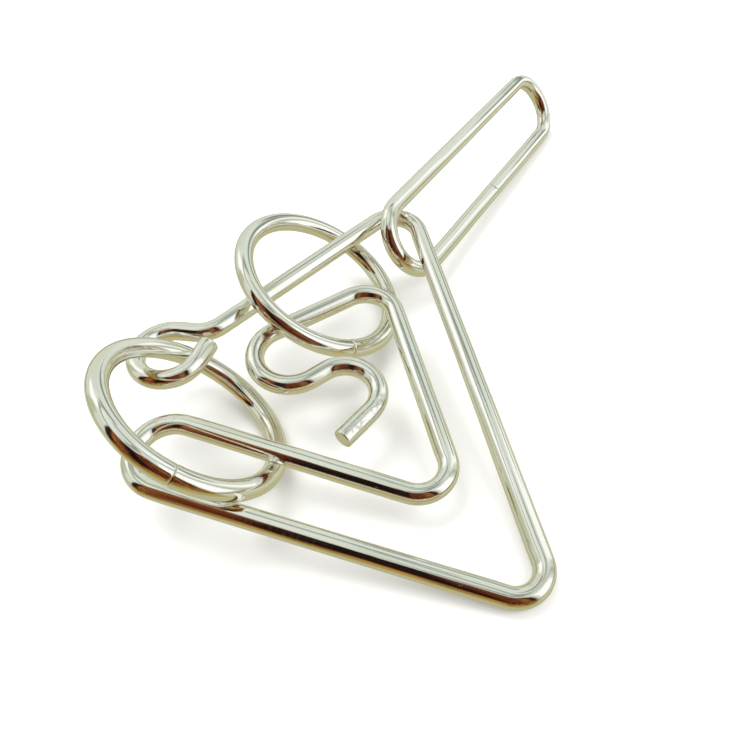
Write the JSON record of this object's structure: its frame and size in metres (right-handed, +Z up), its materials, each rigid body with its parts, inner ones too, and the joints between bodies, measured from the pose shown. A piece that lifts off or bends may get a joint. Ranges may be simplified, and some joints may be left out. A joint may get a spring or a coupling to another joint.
{
  "type": "wire disentanglement puzzle",
  "caption": "Bent wire puzzle: a wire of nested triangles with an eye and a hook, threaded by two rings, with a long closed loop hooked round its far corner.",
  "frame": {"origin": "on the table, under the middle of the linked set's bounding box", "axes": "+X along the triangle's near side, +Y from that side towards the far corner and the loop, +Z up from the table"},
  "size_m": [0.0618, 0.1132, 0.0201],
  "materials": {
    "bright_nickel_triangle": "bright nickel plate on steel wire, mirror polish",
    "bright_nickel_left_ring": "bright nickel plate on steel wire, mirror polish",
    "bright_nickel_upper_ring": "bright nickel plate on steel wire, mirror polish",
    "bright_nickel_loop": "bright nickel plate on steel wire, mirror polish"
  },
  "bodies": {
    "triangle": {"triangle_wire": "bright_nickel_triangle"},
    "left_ring": {"left_ring": "bright_nickel_left_ring"},
    "upper_ring": {"upper_ring": "bright_nickel_upper_ring"},
    "loop": {"long_loop": "bright_nickel_loop"}
  },
  "joints": [
    {"name": "left_ring_tilt", "type": "hinge", "parent": "triangle", "child": "left_ring", "pos_m": [-0.01447, -0.04154, 0.00734], "axis": [-0.7337, 0.6639, 0.1445], "range_deg": [0, 60]},
    {"name": "upper_ring_tilt", "type": "hinge", "parent": "triangle", "child": "upper_ring", "pos_m": [-0.01107, -0.01482, 0.00939], "axis": [-0.3962, 0.9091, 0.1282], "range_deg": [0, 80]},
    {"name": "loop_swing", "type": "hinge", "parent": "triangle", "child": "loop", "pos_m": [-0.00199, -0.00176, 0.00954], "axis": [0, 0, 1], "range_deg": [-50, 5]}
  ]
}
